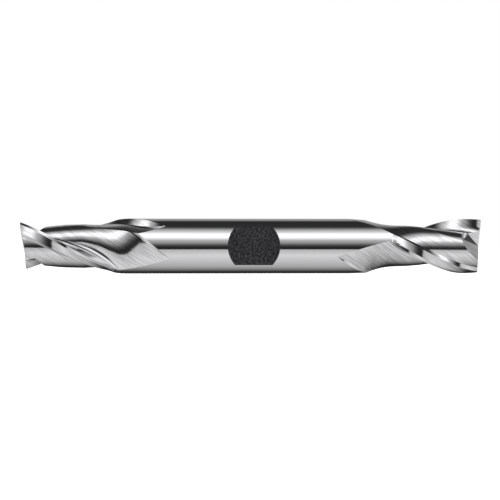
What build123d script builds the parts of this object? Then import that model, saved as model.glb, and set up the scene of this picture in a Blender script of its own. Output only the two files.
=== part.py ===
from build123d import *
from build123d.topology import SkipClean
from math import atan2, cos, degrees, hypot, radians, sin, sqrt, tan
import os

# Double-end, two-flute, right-hand cut square end mill of high speed steel, ground from one bar.
# Millimetres. The tool lies along X with its origin at mid-length on the axis, +Z up.
# The set-screw flat faces -Y. Both ends are alike: the second is the first turned half round.

# Bar
SHANK_DIAMETER = 9.525
OVERALL_LENGTH = 79.375
CUTTING_DIAMETER = 9.505
LENGTH_OF_CUT = 14.3

# Set-screw flat
FLAT_DEPTH = 1.27
FLAT_LENGTH = 6.35
FLAT_END_ANGLE = 45.0
FLAT_OFFSET = 0.0

# Clocking of the two ends: where a tooth's corner stands, turned about the axis from +Y
RIGHT_END_TURN = 287.1
LEFT_END_TURN = 58.3

# Flute, seen square to the axis. Angles count from a tooth's cutting edge, forwards into the flute.
TEETH = 2
HELIX_ANGLE = 30.0
RAKE_ANGLE = 6.0
CORE_RADIUS = 2.65
HOOK_RADIUS = 0.6
FLOOR_RADIUS = 3.1
CREST_RADIUS = 3.66
CREST_TURN = 85.0
BACK_RADIUS = 3.75
STEP_FOOT_RADIUS = 3.92
STEP_FOOT_TURN = 149.0
STEP_LEAN = 46.0

# Land of a tooth, behind its cutting edge
PRIMARY_ANGLE = 8.0
PRIMARY_WIDTH = 0.52
SECONDARY_ANGLE = 19.0
SECONDARY_WIDTH = 1.5
RELIEF_RUN_OUT = 2.6
RELIEF_RUN_OUT_RISE = 0.6

# Run-out of the flute towards the shank, as distances from the tip
HOOK_LIFT_START = 8.5
EDGE_END = 16.75
BACK_LIFT_START = 6.5
STEP_TURN_START = 13.5
FLUTE_APEX = 25.5
APEX_TURN = 93.0
CREST_LIFT = 1.3
EXIT_TURN_PER_MM = 10.5
EXIT_RISE = 0.35
EXIT_LAG = 1.35
EXIT_FLOOR_RADIUS = 5.2

# End teeth
END_DISH = 2.0
END_PRIMARY_ANGLE = 7.0
END_PRIMARY_WIDTH = 1.0
END_SECONDARY_ANGLE = 18.0
WEB_HALF_WIDTH = 0.12
GASH_SLOPE = 42.3
GASH_FLOOR_SLOPE = 33.7
GASH_FLOOR_DROP = 0.1

# Room by which a cutting shape reaches past the metal it leaves
CLEAR = 1.2
SECTION_STEP = 1.5
LAND_CLEAR_TURNS = (-30.0, -14.0, 4.0)

SHANK_RADIUS = SHANK_DIAMETER / 2
CUTTING_RADIUS = CUTTING_DIAMETER / 2
TIP = OVERALL_LENGTH / 2
OUTER_RADIUS = SHANK_RADIUS + 1.4 * CLEAR
TURN_PER_MM = degrees(tan(radians(HELIX_ANGLE)) / CUTTING_RADIUS)
PITCH_TURN = 360.0 / TEETH


def polar(radius, turn):
    """A point square to the axis, from its radius and its turn about the axis."""
    return (radius * cos(radians(turn)), radius * sin(radians(turn)))


def along(start, direction, distance):
    """The point at a distance from start, in a direction in degrees."""
    return (
        start[0] + distance * cos(radians(direction)),
        start[1] + distance * sin(radians(direction)),
    )


def share_between(value, start, end):
    """How far value has gone from start to end, from 0 to 1."""
    return min(1.0, max(0.0, (value - start) / (end - start)))


def station(outline_points, distance):
    """Places points of a section at a distance from the tip, turned with the helix."""
    turn = -TURN_PER_MM * distance
    c, s = cos(radians(turn)), sin(radians(turn))
    x = TIP - distance
    return [Vector(x, c * p - s * q, s * p + c * q) for p, q in outline_points]


def lift_out(distance, start, end):
    """Share of its lift that a wheel has made, rising as its round rim leaves the metal."""
    return max(0.0, (distance - start) / (end - start)) ** 2


def sagitta(chord, radius):
    """Height of an arc of a radius over its chord."""
    return radius - sqrt(radius**2 - (chord / 2) ** 2)


def arc_middle(start, end, radius):
    """The middle point of an arc from start to end that bulges away from the axis."""
    dx, dy = end[0] - start[0], end[1] - start[1]
    chord = hypot(dx, dy)
    share = sagitta(chord, radius) / chord
    return ((start[0] + end[0]) / 2 + share * dy, (start[1] + end[1]) / 2 - share * dx)


def flute_section(distance):
    """The closed outline that is cleared at a distance from the tip, from the rake round to the step."""
    hook_lift = min(1.0, lift_out(distance, HOOK_LIFT_START, EDGE_END))
    back_lift = lift_out(distance, BACK_LIFT_START, FLUTE_APEX)
    past_edge = max(0.0, min(distance, FLUTE_APEX) - EDGE_END)
    narrowing = min(1.0, max(0.0, (distance - STEP_TURN_START) / (FLUTE_APEX - STEP_TURN_START)))
    opening = (EXIT_FLOOR_RADIUS - FLOOR_RADIUS) * min(1.0, back_lift * 3)

    rise = min(EXIT_RISE, past_edge * EXIT_RISE / EXIT_LAG)
    corner_radius = CORE_RADIUS + (SHANK_RADIUS - CORE_RADIUS) * hook_lift + rise
    corner_turn = max(0.0, EXIT_TURN_PER_MM * (past_edge - EXIT_LAG))
    foot_turn = STEP_FOOT_TURN + (APEX_TURN - STEP_FOOT_TURN) * narrowing * (2 - narrowing)
    foot_radius = STEP_FOOT_RADIUS + (SHANK_RADIUS - STEP_FOOT_RADIUS) * back_lift**0.75
    crest_turn = corner_turn + CREST_TURN / STEP_FOOT_TURN * (foot_turn - corner_turn)
    crest_radius = CREST_RADIUS + CREST_LIFT * back_lift

    lean = 180.0 + corner_turn - RAKE_ANGLE
    edge = polar(CUTTING_RADIUS, corner_turn)
    corner = along(edge, lean, CUTTING_RADIUS - corner_radius)
    crest = polar(crest_radius, crest_turn)
    foot = polar(foot_radius, foot_turn)
    floor_middle = arc_middle(corner, crest, FLOOR_RADIUS + opening)
    back_middle = arc_middle(crest, foot, BACK_RADIUS + opening)
    hook = HOOK_RADIUS * (1 - 0.5 * hook_lift)
    hook_start = along(corner, lean, -hook)
    up_floor = degrees(atan2(floor_middle[1] - corner[1], floor_middle[0] - corner[0]))
    hook_end = along(corner, up_floor, hook)
    hook_middle = (
        (hook_start[0] + hook_end[0] + corner[0]) / 3,
        (hook_start[1] + hook_end[1] + corner[1]) / 3,
    )
    outer_rake = along(corner, lean, -(OUTER_RADIUS - corner_radius))
    outer_step = along(foot, foot_turn + STEP_LEAN, OUTER_RADIUS - foot_radius + CLEAR / 2)
    outer_middle = polar(OUTER_RADIUS + CLEAR, (corner_turn + foot_turn) / 2)
    return [
        outer_rake,
        hook_start,
        hook_middle,
        hook_end,
        floor_middle,
        crest,
        back_middle,
        foot,
        outer_step,
        outer_middle,
    ]


def flute_wire(distance):
    """The flute's section as a wire at its place on the tool."""
    p = station(flute_section(distance), distance)
    return Wire(
        [
            Edge.make_line(p[0], p[1]),
            Edge.make_three_point_arc(p[1], p[2], p[3]),
            Edge.make_spline(p[3:8]),
            Edge.make_line(p[7], p[8]),
            Edge.make_three_point_arc(p[8], p[9], p[0]),
        ]
    )


def stations_between(start, end):
    """Evenly spaced distances from start to end, both included."""
    count = max(2, round((end - start) / SECTION_STEP))
    return [start + (end - start) * i / count for i in range(count + 1)]


def flute_cutter():
    """The space of one flute, from past the tip to its run-out into the shank."""
    wires = [flute_wire(d) for d in stations_between(-CLEAR, FLUTE_APEX + CLEAR)]
    return Solid.make_loft(wires)


def land_wire(distance):
    """The outline outside one tooth's primary and secondary relief."""
    lift = share_between(distance, LENGTH_OF_CUT, LENGTH_OF_CUT + RELIEF_RUN_OUT)
    rise = RELIEF_RUN_OUT_RISE * lift**1.5
    edge = (CUTTING_RADIUS + rise, 0.0)
    primary_end = along(edge, 270.0 - PRIMARY_ANGLE, PRIMARY_WIDTH)
    tangent_turn = degrees(atan2(primary_end[1], primary_end[0]))
    secondary_end = along(primary_end, 270.0 + tangent_turn - SECONDARY_ANGLE, SECONDARY_WIDTH)
    ahead = along(edge, 90.0 - PRIMARY_ANGLE, CLEAR / 4)
    outside = [polar(OUTER_RADIUS, turn) for turn in LAND_CLEAR_TURNS]
    return Wire.make_polygon(station([ahead, edge, primary_end, secondary_end] + outside, distance))


def land_cutter():
    """What relief grinding takes off behind one cutting edge."""
    wires = [land_wire(d) for d in stations_between(-CLEAR, LENGTH_OF_CUT + RELIEF_RUN_OUT)]
    return Solid.make_loft(wires)


def gash_cutter():
    """The notch that opens one end tooth towards the centre: a plane face and a sloping floor."""
    reach = 2 * SHANK_RADIUS
    block = Box(2 * reach, 2 * reach, 2 * reach, align=(Align.CENTER, Align.CENTER, Align.MIN))
    block = Pos(TIP, 0, WEB_HALF_WIDTH) * block
    floor = Plane(
        origin=(TIP - GASH_FLOOR_DROP, 0, WEB_HALF_WIDTH),
        x_dir=(-tan(radians(GASH_SLOPE)), 1, 0),
        z_dir=Vector(1, tan(radians(GASH_SLOPE)), tan(radians(GASH_FLOOR_SLOPE))),
    )
    return split(block, bisect_by=floor, keep=Keep.TOP)


def end_relief_cutter():
    """What is ground off the end face behind one end tooth, dished towards the centre."""
    reach = SHANK_RADIUS + CLEAR
    cutters = []
    for start, angle in ((0.0, END_PRIMARY_ANGLE), (END_PRIMARY_WIDTH, END_SECONDARY_ANGLE)):
        drop = END_PRIMARY_WIDTH * tan(radians(END_PRIMARY_ANGLE)) if start else 0.0
        block = Box(2 * reach, reach, reach, align=(Align.CENTER, Align.MIN, Align.MAX))
        block = Pos(TIP, 0, WEB_HALF_WIDTH - start) * block
        face = Plane(
            origin=(TIP - drop, CUTTING_RADIUS, WEB_HALF_WIDTH - start),
            x_dir=(tan(radians(END_DISH)), 1, 0),
            z_dir=Vector(1, -tan(radians(END_DISH)), -tan(radians(angle))),
        )
        cutters.append(split(block, bisect_by=face, keep=Keep.TOP))
    return cutters


def end_cutters():
    """All that is ground off one end, with a tooth's corner at the +Y side of the +X tip."""
    tooth = [flute_cutter(), land_cutter(), gash_cutter()] + end_relief_cutter()
    return [Rot(i * PITCH_TURN, 0, 0) * shape for i in range(TEETH) for shape in tooth]


def set_screw_flat():
    """The flat in the middle of the shank, with sloping ends."""
    run = FLAT_DEPTH / tan(radians(FLAT_END_ANGLE))
    half_bottom = FLAT_LENGTH / 2
    half_top = half_bottom + run * (FLAT_DEPTH + CLEAR) / FLAT_DEPTH
    outline = Plane.XY * Polyline(
        (-half_bottom, -SHANK_RADIUS + FLAT_DEPTH),
        (half_bottom, -SHANK_RADIUS + FLAT_DEPTH),
        (half_top, -SHANK_RADIUS - CLEAR),
        (-half_top, -SHANK_RADIUS - CLEAR),
        close=True,
    )
    prism = extrude(make_face(outline), SHANK_RADIUS, both=True)
    return Pos(FLAT_OFFSET, 0, 0) * prism


def bar():
    """The ground bar, in two lengths that meet at mid-length so each has a wall of its own."""
    half = Cylinder(SHANK_RADIUS, TIP, align=(Align.CENTER, Align.CENTER, Align.MIN))
    return Rot(0, 90, 0) * half + Rot(0, -90, 0) * half


def end_mill():
    """The whole tool: a ground bar less what both ends and the flat take off."""
    with SkipClean():
        body = bar() - set_screw_flat()
        cutters = end_cutters()
        for shape in cutters:
            body = body - Rot(RIGHT_END_TURN, 0, 0) * shape
        for shape in cutters:
            body = body - Rot(0, 0, 180) * Rot(LEFT_END_TURN, 0, 0) * shape
    return body


os.makedirs("parts", exist_ok=True)
export_step(end_mill(), "parts/end_mill.step")
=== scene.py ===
import bpy
from math import acos, atan2, cos, degrees, hypot, pi, radians, sin, sqrt, tan
from mathutils import Matrix, Vector


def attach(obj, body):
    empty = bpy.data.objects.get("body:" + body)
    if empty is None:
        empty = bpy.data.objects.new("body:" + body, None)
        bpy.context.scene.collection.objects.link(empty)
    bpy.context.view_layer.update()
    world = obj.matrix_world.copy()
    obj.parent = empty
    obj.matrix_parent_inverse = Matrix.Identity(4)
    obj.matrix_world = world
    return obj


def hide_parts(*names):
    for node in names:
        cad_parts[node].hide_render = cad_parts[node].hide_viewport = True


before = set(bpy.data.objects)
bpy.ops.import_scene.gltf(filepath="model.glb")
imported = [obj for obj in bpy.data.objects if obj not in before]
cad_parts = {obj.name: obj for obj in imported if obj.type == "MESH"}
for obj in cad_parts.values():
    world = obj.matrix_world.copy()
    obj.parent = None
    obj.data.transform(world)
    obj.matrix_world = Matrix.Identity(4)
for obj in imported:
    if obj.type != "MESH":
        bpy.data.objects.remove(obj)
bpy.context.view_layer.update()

# The bar of the end mill, high speed steel, ground round between centres. Each end has two teeth, half
# a turn apart. A section across them is drawn in turns, in degrees from a cutting edge round to the
# next one, and in radii. Sizes are in millimetres, and distances along the bar start at its tip.
MM = 0.001
SHANK_RADIUS = 9.525 / 2
CUTTING_RADIUS = 9.505 / 2
TIP = 79.375 / 2
LENGTH_OF_CUT = 14.3
TEETH = 2
TOOTH_SPAN = 360.0 / TEETH
HELIX_ANGLE = 30.0
TURN_PER_MM = degrees(tan(radians(HELIX_ANGLE)) / CUTTING_RADIUS)


def polar(radius, turn):
    return Vector((radius * cos(radians(turn)), radius * sin(radians(turn))))


def turn_of(point):
    return degrees(atan2(point.y, point.x))


def share_between(value, start, end):
    return min(1.0, max(0.0, (value - start) / (end - start)))


def eased(value, start, end):
    share = share_between(value, start, end)
    return share * share * (3 - 2 * share)


def line_radius(start, end, turn):
    """How far from the axis a ray at a turn meets the line through two points."""
    ray = polar(1.0, turn)
    step = end - start
    return (start.x * step.y - start.y * step.x) / (ray.x * step.y - ray.y * step.x)


def arc_radius(start, end, curve, turn):
    """How far from the axis a ray meets an arc, which bulges outwards, or inwards if curve is negative."""
    step = end - start
    depth = sqrt(max(0.0, curve**2 - (step.length / 2) ** 2))
    inwards = Vector((-step.y, step.x)).normalized()
    centre = (start + end) / 2 + inwards * (depth if curve > 0 else -depth)
    ray = polar(1.0, turn)
    reach = ray.dot(centre)
    gap = sqrt(max(0.0, curve**2 - centre.length_squared + reach**2))
    return reach + gap if curve > 0 else reach - gap


# A flute's rake face and floor, ground by the first wheel, with a hooked corner between them. The wheel
# lifts out along a slanted run-out, flatter than the floor, and its side leaves a low, leaning wall.
RAKE_ANGLE = 6.0
CORE_RADIUS = 2.65
HOOK_RADIUS = 0.6
FLATTEST_HOOK = 0.999
HOOK_LIFT_START = 8.5
HOOK_LIFT_GROWTH = 2.6
EDGE_END = 16.75
EDGE_EXIT_GROWTH = 1.06

FLOOR_CURVE = 2.8
FLOOR_EXIT_CURVE = 14.0
FLATTEN_START = 10.5
FLATTEN_END = 18.5
FLOOR_END_RADIUS = 3.72
FLOOR_END_TURN = 90.0
FLOOR_LIFT_START = 14.0
FLOOR_LIFT_END = 20.5
FLOOR_LIFT_GROWTH = 2.0
FLOOR_APEX = 25.5
FLOOR_APEX_TURN = 92.4

WALL_HEIGHT = 0.22
WALL_LEAN = 60.0
WALL_TURN_PER_MM = 2.65
WALL_BEND_START = 12.0
WALL_BEND_END = 18.0
WALL_FADE_GROWTH = 4.0
CREST_END = 20.1


def opened_curve(curve, exit_curve, distance):
    """A wheel's curve along the cut, which opens out to a flatter one towards its run-out."""
    flattened = share_between(distance, FLATTEN_START, FLATTEN_END)
    return 1 / (1 / curve + (1 / exit_curve - 1 / curve) * flattened)


def first_wheel(distance):
    """The faces that the first wheel leaves, each as first turn, last turn and radius by turn."""
    if distance >= FLOOR_APEX:
        return {}
    wall_height = WALL_HEIGHT * (1 - share_between(distance, CREST_END, FLOOR_APEX) ** WALL_FADE_GROWTH)
    wall_run = degrees(wall_height * tan(radians(WALL_LEAN)) / SHANK_RADIUS)
    wall_turn = FLOOR_APEX_TURN + WALL_TURN_PER_MM * (FLOOR_APEX - distance) - wall_run
    bend = eased(distance, WALL_BEND_START, WALL_BEND_END)
    end_turn = FLOOR_END_TURN + (wall_turn - FLOOR_END_TURN) * bend
    lift = share_between(distance, FLOOR_LIFT_START, FLOOR_LIFT_END) ** FLOOR_LIFT_GROWTH
    end = polar(FLOOR_END_RADIUS + (SHANK_RADIUS - wall_height - FLOOR_END_RADIUS) * lift, end_turn)

    cuts = {}
    if distance < EDGE_END:
        hook_lift = share_between(distance, HOOK_LIFT_START, EDGE_END) ** HOOK_LIFT_GROWTH
        hook = HOOK_RADIUS * (1 - hook_lift)
        edge = polar(CUTTING_RADIUS, 0.0)
        rake = polar(1.0, 180.0 - RAKE_ANGLE)
        corner = edge + rake * (CUTTING_RADIUS - CORE_RADIUS) * (1 - hook_lift)
        hook_start = corner - rake * hook
        hook_end = corner + (end - corner).normalized() * hook
        spread = (hook_start - hook_end).length / 2
        hook_curve = spread / sin(acos(min(FLATTEST_HOOK, spread / hook)))
        cuts["rake"] = (0.0, turn_of(hook_start), lambda turn: line_radius(edge, hook_start, turn))
        cuts["hook"] = (
            turn_of(hook_start),
            turn_of(hook_end),
            lambda turn: arc_radius(hook_start, hook_end, -hook_curve, turn),
        )
        floor_start = hook_end
    else:
        share = share_between(distance, EDGE_END, FLOOR_APEX)
        floor_start = polar(SHANK_RADIUS, FLOOR_APEX_TURN * share**EDGE_EXIT_GROWTH)

    # The wall's line is drawn on past the shank's surface, so that it meets it cleanly.
    wall_top = polar(SHANK_RADIUS + 2 * wall_height, end_turn + 3 * wall_run)
    floor_curve = opened_curve(FLOOR_CURVE, FLOOR_EXIT_CURVE, distance)
    cuts["floor"] = (
        turn_of(floor_start),
        end_turn,
        lambda turn: arc_radius(floor_start, end, floor_curve, turn),
    )
    cuts["wall"] = (end_turn, end_turn + 2 * wall_run, lambda turn: line_radius(end, wall_top, turn))
    return cuts


# The back of the next tooth, cleared by the second wheel, which leaves a crest between it and the floor.
# Its run-out lies behind the crest, nearly flat, and ends in a straight step up to the shank.
BACK_CURVE = 3.75
BACK_EXIT_CURVE = 15.0
BACK_DIP = 0.15
BACK_LIFT_START = 19.0
BACK_LIFT_GROWTH = 2.0
BACK_EXIT_GROWTH = 1.12
BACK_APEX = 24.85
BACK_APEX_TURN = 160.4
CREST_RADIUS = 3.66
CREST_TURN = 76.0
CREST_TURN_START = 10.0
CREST_LIFT_START = 14.0
CREST_LIFT_GROWTH = 2.2
CREST_END_TURN = 108.9
STEP_FOOT_RADIUS = 3.92
STEP_FOOT_TURN = 149.0
STEP_LEAN = 46.0
STEP_LENGTH = 2.0


def second_wheel(distance):
    """The faces that the second wheel leaves, in the same form."""
    if distance >= BACK_APEX:
        return {}
    along_cut = share_between(distance, CREST_TURN_START, CREST_END)
    past_crest = share_between(distance, CREST_END, BACK_APEX) ** BACK_EXIT_GROWTH
    crest_turn = CREST_TURN + (CREST_END_TURN - CREST_TURN) * along_cut
    crest_turn = crest_turn + (BACK_APEX_TURN - CREST_END_TURN) * past_crest
    crest_lift = share_between(distance, CREST_LIFT_START, CREST_END) ** CREST_LIFT_GROWTH
    crest = polar(CREST_RADIUS + (SHANK_RADIUS - CREST_RADIUS) * crest_lift, crest_turn)

    dip = BACK_DIP * eased(distance, CREST_LIFT_START, BACK_LIFT_START)
    back_lift = share_between(distance, BACK_LIFT_START, BACK_APEX) ** BACK_LIFT_GROWTH
    rise = (SHANK_RADIUS - STEP_FOOT_RADIUS + BACK_DIP) * back_lift - dip
    up_step = polar(1.0, STEP_FOOT_TURN + STEP_LEAN)
    foot = polar(STEP_FOOT_RADIUS, STEP_FOOT_TURN) + up_step * rise / cos(radians(STEP_LEAN))
    step_top = foot + up_step * STEP_LENGTH
    back_curve = opened_curve(BACK_CURVE, BACK_EXIT_CURVE, distance)
    return {
        "back": (turn_of(crest), turn_of(foot), lambda turn: arc_radius(crest, foot, back_curve, turn)),
        "step": (turn_of(foot), turn_of(step_top), lambda turn: line_radius(foot, step_top, turn)),
    }


# The two lands on the outside of a tooth, narrow faces ground last behind the cutting edge, the second
# one steeper. Past the length of cut the wheel rises, and they fade out of the steel.
PRIMARY_ANGLE = 8.0
PRIMARY_WIDTH = 0.52
SECONDARY_ANGLE = 19.0
SECONDARY_WIDTH = 1.5
RELIEF_RUN_OUT = 2.6
RELIEF_RUN_OUT_RISE = 0.6
RELIEF_RUN_OUT_GROWTH = 1.5


def lands(distance):
    """The lands of the next tooth, whose cutting edge ends this tooth's share of the section."""
    if distance > LENGTH_OF_CUT + RELIEF_RUN_OUT:
        return {}
    run_out = share_between(distance, LENGTH_OF_CUT, LENGTH_OF_CUT + RELIEF_RUN_OUT)
    rise = RELIEF_RUN_OUT_RISE * run_out**RELIEF_RUN_OUT_GROWTH
    edge = polar(CUTTING_RADIUS + rise, TOOTH_SPAN)
    ridge = edge + polar(PRIMARY_WIDTH, 90.0 - PRIMARY_ANGLE)
    heel = ridge + polar(SECONDARY_WIDTH, turn_of(ridge) - 90.0 - SECONDARY_ANGLE)
    return {
        "secondary": (turn_of(heel), turn_of(ridge), lambda turn: line_radius(heel, ridge, turn)),
        "primary": (turn_of(ridge), TOOTH_SPAN, lambda turn: line_radius(ridge, edge, turn)),
    }


# One end of the bar with both its flutes, as the wheels leave it. The section changes all along the
# twist, which no modelling tool follows, so a skin is laid over rings of points, and each face of the
# section keeps the same number of points on every ring. The skin starts a little outside the tip.
POINTS_ON = {
    "front": 40,
    "rake": 4,
    "hook": 16,
    "floor": 28,
    "wall": 3,
    "between": 30,
    "back": 24,
    "step": 4,
    "heel": 8,
    "secondary": 6,
    "primary": 3,
}
ORDER = list(POINTS_ON)
SCAN_STEP = 0.5
HALVINGS = 14
RING_STEP = 0.3
SPARE_AT_TIP = 0.45
RUN_OUT_END = 26.1
KEY_STATIONS = (-SPARE_AT_TIP, LENGTH_OF_CUT, EDGE_END, CREST_END, BACK_APEX, FLOOR_APEX)
MERGE_WITHIN = 0.0008


def lowest(cuts, turn):
    """The metal's radius at a turn, and the place in ORDER of the face that sets it."""
    floor_start = cuts["floor"][0] if "floor" in cuts else FLOOR_APEX_TURN
    back_start = cuts["back"][0] if "back" in cuts else BACK_APEX_TURN
    radius, name = SHANK_RADIUS, "front"
    if turn > back_start:
        name = "heel"
    elif turn > floor_start:
        name = "between"
    for cut, (first, last, radius_at) in cuts.items():
        if first <= turn <= last:
            reach = radius_at(turn)
            if 0 < reach < radius:
                radius, name = reach, cut
    return radius, ORDER.index(name)


def outline_at(distance):
    """Points of one tooth's share of the section, as turn and radius, alike in number at each distance."""
    cuts = first_wheel(distance) | second_wheel(distance) | lands(distance)
    scan = [i * SCAN_STEP for i in range(int(TOOTH_SPAN / SCAN_STEP) + 1)]
    places = [lowest(cuts, turn)[1] for turn in scan]
    borders = [0.0]
    for place in range(1, len(ORDER)):
        after = next((i for i, found in enumerate(places) if found >= place), len(scan) - 1)
        low, high = scan[max(0, after - 1)], scan[after]
        for _ in range(HALVINGS):
            middle = (low + high) / 2
            if lowest(cuts, middle)[1] >= place:
                high = middle
            else:
                low = middle
        borders.append(high if after else 0.0)
    borders.append(TOOTH_SPAN)
    points = []
    for place, count in enumerate(POINTS_ON.values()):
        for i in range(count):
            turn = borders[place] + (borders[place + 1] - borders[place]) * i / count
            points.append((turn, lowest(cuts, turn)[0]))
    return points


even_stations = {round(i * RING_STEP, 4) for i in range(int(RUN_OUT_END / RING_STEP) + 1)}
stations = sorted(even_stations | set(KEY_STATIONS))
corners = []
for distance in stations:
    outline = outline_at(distance)
    for tooth in range(TEETH):
        for turn, radius in outline:
            at = polar(radius, tooth * TOOTH_SPAN + turn - TURN_PER_MM * distance)
            corners.append(((TIP - distance) * MM, at.x * MM, at.y * MM))
around = TEETH * sum(POINTS_ON.values())
faces = [tuple(range(around)), tuple(range(len(corners) - 1, len(corners) - around - 1, -1))]
for ring in range(len(stations) - 1):
    for i in range(around):
        j = (i + 1) % around
        start = ring * around
        faces.append((start + i, start + j, start + around + j, start + around + i))
mesh = bpy.data.meshes.new("ground_end")
mesh.from_pydata(corners, [], faces)
ground_end = bpy.data.objects.new("ground_end", mesh)
bpy.context.scene.collection.objects.link(ground_end)
bpy.ops.object.select_all(action="DESELECT")
ground_end.select_set(True)
bpy.context.view_layer.objects.active = ground_end
bpy.ops.object.mode_set(mode="EDIT")
bpy.ops.mesh.select_all(action="SELECT")
bpy.ops.mesh.remove_doubles(threshold=MERGE_WITHIN * MM)
bpy.ops.mesh.quads_convert_to_tris()
bpy.ops.mesh.normals_make_consistent(inside=False)
bpy.ops.object.mode_set(mode="OBJECT")

# The end teeth, ground on each end face: a gash opens each tooth towards the centre, and two reliefs
# fall away behind its edge, dished so that only the outer corners touch.
END_DISH = 2.0
END_PRIMARY_ANGLE = 7.0
END_PRIMARY_WIDTH = 1.0
END_SECONDARY_ANGLE = 18.0
WEB_HALF_WIDTH = 0.12
GASH_SLOPE = 42.3
GASH_FLOOR_SLOPE = 33.7
GASH_FLOOR_DROP = 0.1
BLOCK_SIZE = 24.0
LAP = 0.03


def ground_off(piece, facing, through, kept_sides, turned):
    """Takes off a piece what lies outside a plane and on the kept sides of other planes."""
    facing = Vector(facing).normalized()
    middle = Vector(through) + facing * BLOCK_SIZE / 2
    tilt = facing.to_track_quat("Z", "Y").to_matrix().to_4x4()
    bpy.ops.object.select_all(action="DESELECT")
    bpy.ops.mesh.primitive_cube_add(size=BLOCK_SIZE * MM)
    block = bpy.context.active_object
    block.matrix_world = turned @ Matrix.Translation(middle * MM) @ tilt
    bpy.ops.object.transform_apply(location=True, rotation=True, scale=True)
    bpy.ops.object.mode_set(mode="EDIT")
    for point, direction in kept_sides:
        bpy.ops.mesh.select_all(action="SELECT")
        bpy.ops.mesh.bisect(
            plane_co=turned @ (Vector(point) * MM),
            plane_no=turned.to_3x3() @ Vector(direction),
            use_fill=True,
            clear_inner=True,
        )
    bpy.ops.object.mode_set(mode="OBJECT")
    block.select_set(False)
    bpy.context.view_layer.objects.active = piece
    cut = piece.modifiers.new("ground_off", "BOOLEAN")
    cut.operation = "DIFFERENCE"
    cut.solver = "EXACT"
    cut.object = block
    bpy.ops.object.modifier_apply(modifier=cut.name)
    bpy.data.objects.remove(block)


for tooth in range(TEETH):
    turned = Matrix.Rotation(radians(tooth * TOOTH_SPAN), 4, "X")
    ground_off(
        ground_end,
        (1.0, tan(radians(GASH_SLOPE)), tan(radians(GASH_FLOOR_SLOPE))),
        (TIP - GASH_FLOOR_DROP, 0.0, WEB_HALF_WIDTH),
        [((0.0, 0.0, WEB_HALF_WIDTH), (0.0, 0.0, 1.0))],
        turned,
    )
    for behind, angle in ((0.0, END_PRIMARY_ANGLE), (END_PRIMARY_WIDTH, END_SECONDARY_ANGLE)):
        drop = behind * tan(radians(END_PRIMARY_ANGLE))
        height = WEB_HALF_WIDTH - behind
        ground_off(
            ground_end,
            (1.0, -tan(radians(END_DISH)), -tan(radians(angle))),
            (TIP - drop, CUTTING_RADIUS, height),
            [((0.0, 0.0, height + LAP), (0.0, 0.0, -1.0)), ((0.0, -LAP, 0.0), (0.0, 1.0, 0.0))],
            turned,
        )

# The shank between the two ends, ground plain and round. The ends are alike and stand turned on it, and
# all of it is one bar, so the caps at the seams go and the rims are bridged into one closed skin.
RIGHT_END_TURN = 287.1
LEFT_END_TURN = 58.3
SHANK_SIDES = 180
SEAM_GAP = 0.4
AT_SEAM = 0.001
seam = (TIP - RUN_OUT_END) * MM
bpy.ops.object.select_all(action="DESELECT")
bpy.ops.mesh.primitive_cylinder_add(
    vertices=SHANK_SIDES,
    radius=SHANK_RADIUS * MM,
    depth=2 * (seam - SEAM_GAP * MM),
    end_fill_type="NOTHING",
    rotation=(0.0, pi / 2, 0.0),
)
mill = bpy.context.active_object
mill.name = "double_end_mill"
other_end = ground_end.copy()
other_end.data = ground_end.data.copy()
bpy.context.scene.collection.objects.link(other_end)
ground_end.matrix_world = Matrix.Rotation(radians(RIGHT_END_TURN), 4, "X")
other_end.matrix_world = Matrix.Rotation(pi, 4, "Z") @ Matrix.Rotation(radians(LEFT_END_TURN), 4, "X")
ground_end.select_set(True)
other_end.select_set(True)
bpy.ops.object.join()
bpy.ops.object.transform_apply(location=True, rotation=True, scale=True)
for side in (1, -1):
    bpy.ops.object.mode_set(mode="EDIT")
    bpy.ops.mesh.select_all(action="DESELECT")
    bpy.ops.object.mode_set(mode="OBJECT")
    for cap in mill.data.polygons:
        places = [mill.data.vertices[i].co.x * side for i in cap.vertices]
        cap.select = all(abs(place - seam) < AT_SEAM * MM for place in places)
    bpy.ops.object.mode_set(mode="EDIT")
    bpy.ops.mesh.select_mode(type="FACE")
    bpy.ops.mesh.delete(type="FACE")
    bpy.ops.mesh.select_mode(type="EDGE")
    bpy.ops.mesh.select_all(action="DESELECT")
    bpy.ops.object.mode_set(mode="OBJECT")
    for edge in mill.data.edges:
        ends = [mill.data.vertices[i].co.x * side for i in edge.vertices]
        across = max(ends) - min(ends) < AT_SEAM * MM
        edge.select = across and seam - 1.5 * SEAM_GAP * MM < ends[0] < seam + AT_SEAM * MM
    bpy.ops.object.mode_set(mode="EDIT")
    bpy.ops.mesh.bridge_edge_loops()
    bpy.ops.object.mode_set(mode="OBJECT")

# The set-screw flat in the middle of the shank, on the side that faces the camera, where the screw of a
# holder presses. It is milled with sloping ends before the steel is hardened. With it the bar has its
# whole shape.
FLAT_DEPTH = 1.27
FLAT_LENGTH = 6.35
FLAT_END_ANGLE = 45.0
FLAT_FLOOR = -SHANK_RADIUS + FLAT_DEPTH
SMOOTH_ANGLE = 9.0
slope = 1 / tan(radians(FLAT_END_ANGLE))
ground_off(
    mill,
    (0.0, -1.0, 0.0),
    (0.0, FLAT_FLOOR, 0.0),
    [
        ((FLAT_LENGTH / 2, FLAT_FLOOR, 0.0), (-1.0, -slope, 0.0)),
        ((-FLAT_LENGTH / 2, FLAT_FLOOR, 0.0), (1.0, -slope, 0.0)),
    ],
    Matrix.Identity(4),
)
bpy.ops.object.select_all(action="DESELECT")
mill.select_set(True)
bpy.context.view_layer.objects.active = mill
bpy.ops.object.shade_smooth_by_angle(angle=radians(SMOOTH_ANGLE))
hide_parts("end_mill")
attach(mill, "root")

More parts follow.
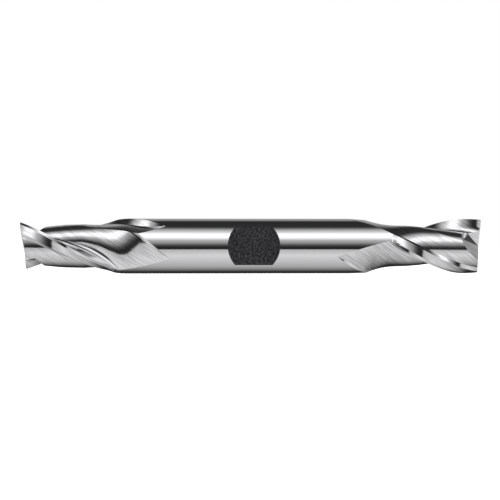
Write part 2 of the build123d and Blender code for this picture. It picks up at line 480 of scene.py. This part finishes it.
# The finish of the shank, ground bright while it turns, so its very fine lines run around it. The
# pattern changes quickly along the bar and slowly across it, which gives such rings.
steel = bpy.data.materials.new("ground_shank_steel")
steel.use_nodes = True
nodes = steel.node_tree.nodes
links = steel.node_tree.links
face = nodes["Principled BSDF"]
face.inputs["Metallic"].default_value = 1.0
face.inputs["Base Color"].default_value = (0.68, 0.68, 0.69, 1.0)
face.inputs["Roughness"].default_value = 0.07
place = nodes.new("ShaderNodeTexCoord")
stretch = nodes.new("ShaderNodeMapping")
stretch.inputs["Scale"].default_value = (9000.0, 250.0, 250.0)
grain = nodes.new("ShaderNodeTexNoise")
grain.inputs["Scale"].default_value = 1.0
grain.inputs["Detail"].default_value = 3.0
lift = nodes.new("ShaderNodeBump")
lift.inputs["Strength"].default_value = 0.12
lift.inputs["Distance"].default_value = 0.00002
links.new(place.outputs["Object"], stretch.inputs["Vector"])
links.new(stretch.outputs["Vector"], grain.inputs["Vector"])
links.new(grain.outputs["Fac"], lift.inputs["Height"])
links.new(lift.outputs["Normal"], face.inputs["Normal"])

# The finish of the flutes and teeth, the same steel, with the slanted lines that the wheels leave. They
# are coarser than the shank's, and darker and brighter streaks run along them.
WHEEL_LINE_SLANT = 33.0
flute_steel = steel.copy()
flute_steel.name = "wheel_ground_steel"
nodes = flute_steel.node_tree.nodes
links = flute_steel.node_tree.links
face = nodes["Principled BSDF"]
face.inputs["Roughness"].default_value = 0.10
wheel_lines = nodes["Mapping"]
wheel_lines.vector_type = "TEXTURE"
wheel_lines.inputs["Rotation"].default_value = (0.0, radians(WHEEL_LINE_SLANT), 0.0)
wheel_lines.inputs["Scale"].default_value = (0.004, 0.004, 0.0003)
nodes["Bump"].inputs["Strength"].default_value = 0.28
streaks = nodes.new("ShaderNodeValToRGB")
streaks.color_ramp.elements[0].position = 0.36
streaks.color_ramp.elements[0].color = (0.55, 0.55, 0.56, 1.0)
streaks.color_ramp.elements[1].position = 0.62
streaks.color_ramp.elements[1].color = (0.76, 0.76, 0.77, 1.0)
links.new(nodes["Noise Texture"].outputs["Fac"], streaks.inputs["Fac"])
links.new(streaks.outputs["Color"], face.inputs["Base Color"])

# The skin on the set-screw flat, dark scale from the heat treatment, which no wheel has taken off. It
# is rough, not metallic to the eye, and mottled with fine paler spots.
dark = bpy.data.materials.new("heat_treated_skin")
dark.use_nodes = True
nodes = dark.node_tree.nodes
links = dark.node_tree.links
face = nodes["Principled BSDF"]
face.inputs["Metallic"].default_value = 0.0
face.inputs["Specular IOR Level"].default_value = 0.35
face.inputs["Roughness"].default_value = 0.55
place = nodes.new("ShaderNodeTexCoord")
scale_spots = nodes.new("ShaderNodeTexNoise")
scale_spots.inputs["Scale"].default_value = 2600.0
scale_spots.inputs["Detail"].default_value = 4.0
skin_tone = nodes.new("ShaderNodeValToRGB")
skin_tone.color_ramp.elements[0].position = 0.42
skin_tone.color_ramp.elements[0].color = (0.012, 0.011, 0.013, 1.0)
skin_tone.color_ramp.elements[1].position = 0.62
skin_tone.color_ramp.elements[1].color = (0.075, 0.072, 0.078, 1.0)
links.new(place.outputs["Object"], scale_spots.inputs["Vector"])
links.new(scale_spots.outputs["Fac"], skin_tone.inputs["Fac"])
links.new(skin_tone.outputs["Color"], face.inputs["Base Color"])

# Each finish goes on the faces it belongs to: what lies on the shank's surface is shank, what lies below
# it between the seams is the flat, and all the rest was ground by the wheels.
BELOW_SURFACE = 0.02
finishes = [steel, flute_steel, dark]
mill.data.materials.clear()
for finish in finishes:
    mill.data.materials.append(finish)
for facet in mill.data.polygons:
    middle = facet.center
    if SHANK_RADIUS * MM - hypot(middle.y, middle.z) < BELOW_SURFACE * MM:
        facet.material_index = finishes.index(steel)
    elif abs(middle.x) < seam:
        facet.material_index = finishes.index(dark)
    else:
        facet.material_index = finishes.index(flute_steel)

# The floor, a pale sheet that the tool lies on. It is white to the camera and keeps the shadow, and the
# steel doesn't mirror it, because the light table in the studio below stands for it there.
SHEET_SIZE = 4.0
bpy.ops.object.select_all(action="DESELECT")
bpy.ops.mesh.primitive_plane_add(size=SHEET_SIZE, location=(0.0, 0.0, -SHANK_RADIUS * MM))
floor = bpy.context.active_object
floor.name = "floor"
floor.visible_glossy = False
paper = bpy.data.materials.new("white_sheet")
paper.use_nodes = True
nodes = paper.node_tree.nodes
links = paper.node_tree.links
nodes.clear()
out = nodes.new("ShaderNodeOutputMaterial")
matt = nodes.new("ShaderNodeBsdfDiffuse")
matt.inputs["Color"].default_value = (0.8, 0.8, 0.8, 1.0)
glow = nodes.new("ShaderNodeEmission")
rays = nodes.new("ShaderNodeLightPath")
both = nodes.new("ShaderNodeAddShader")
links.new(rays.outputs["Is Camera Ray"], glow.inputs["Strength"])
links.new(matt.outputs["BSDF"], both.inputs[0])
links.new(glow.outputs["Emission"], both.inputs[1])
links.new(both.outputs["Shader"], out.inputs["Surface"])
floor.data.materials.append(paper)

# The studio around it: a bright softbox over the camera, dark overhead, a light table below whose near
# edge shows as a sharp line along the shank, and dark sides. Each level is how bright the room is at an
# angle around the tool, in degrees from the camera's side upwards. To the camera the room is white.
LEVELS = [
    (-180, 0.25), (-160, 0.04), (-134, 0.03), (-120, 0.20), (-95, 0.55), (-40, 0.95), (-20, 0.72),
    (-14.5, 0.66), (-13.5, 0.02), (-3, 0.03), (5, 0.12), (14, 0.40), (24, 0.62), (31, 1.1), (37, 1.5),
    (52, 1.5), (60, 0.95), (70, 0.60), (80, 0.18), (87, 0.04), (120, 0.03), (130, 0.10), (142, 0.45),
    (160, 0.40), (180, 0.30),
]
world = bpy.data.worlds.new("studio")
bpy.context.scene.world = world
world.use_nodes = True
nodes = world.node_tree.nodes
links = world.node_tree.links
nodes.clear()
out = nodes.new("ShaderNodeOutputWorld")
sight = nodes.new("ShaderNodeTexCoord")
axes = nodes.new("ShaderNodeSeparateXYZ")
links.new(sight.outputs["Generated"], axes.inputs["Vector"])
to_camera = nodes.new("ShaderNodeMath")
to_camera.operation = "MULTIPLY"
to_camera.inputs[1].default_value = -1.0
links.new(axes.outputs["Y"], to_camera.inputs[0])
angle_up = nodes.new("ShaderNodeMath")
angle_up.operation = "ARCTAN2"
links.new(axes.outputs["Z"], angle_up.inputs[0])
links.new(to_camera.outputs["Value"], angle_up.inputs[1])
share_around = nodes.new("ShaderNodeMapRange")
share_around.inputs["From Min"].default_value = -pi
share_around.inputs["From Max"].default_value = pi
links.new(angle_up.outputs["Value"], share_around.inputs["Value"])
ramp = nodes.new("ShaderNodeValToRGB")
links.new(share_around.outputs["Result"], ramp.inputs["Fac"])
while len(ramp.color_ramp.elements) < len(LEVELS):
    ramp.color_ramp.elements.new(0.5)
for i, (angle, level) in enumerate(LEVELS):
    ramp.color_ramp.elements[i].position = (angle + 180) / 360
for i, (angle, level) in enumerate(LEVELS):
    ramp.color_ramp.elements[i].color = (level, level, level, 1.0)
room = nodes.new("ShaderNodeBackground")
links.new(ramp.outputs["Color"], room.inputs["Color"])
white = nodes.new("ShaderNodeBackground")
white.inputs["Color"].default_value = (1.0, 1.0, 1.0, 1.0)
rays = nodes.new("ShaderNodeLightPath")
choose = nodes.new("ShaderNodeMixShader")
links.new(rays.outputs["Is Camera Ray"], choose.inputs["Fac"])
links.new(room.outputs["Background"], choose.inputs[1])
links.new(white.outputs["Background"], choose.inputs[2])
links.new(choose.outputs["Shader"], out.inputs["Surface"])

# The camera, level with the tool's axis and a little to the left of its middle, as far off as the
# photograph's perspective says. Its distance is in metres, its lens and sensor in millimetres.
CAMERA_DISTANCE = 0.1663
CAMERA_YAW = 2.18
FOCAL_LENGTH = 68.8
SENSOR_WIDTH = 36.0
NEAREST_SEEN = 0.005
eye = bpy.data.cameras.new("camera")
eye.lens = FOCAL_LENGTH
eye.sensor_width = SENSOR_WIDTH
eye.clip_start = NEAREST_SEEN
eye.shift_x = -0.006
eye.shift_y = -0.0078
camera = bpy.data.objects.new("camera", eye)
bpy.context.scene.collection.objects.link(camera)
yaw = radians(CAMERA_YAW)
camera.location = (-CAMERA_DISTANCE * sin(yaw), -CAMERA_DISTANCE * cos(yaw), 0.0)
camera.rotation_euler = (pi / 2, 0.0, -yaw)
bpy.context.scene.camera = camera

bpy.context.scene.view_settings.view_transform = "Standard"
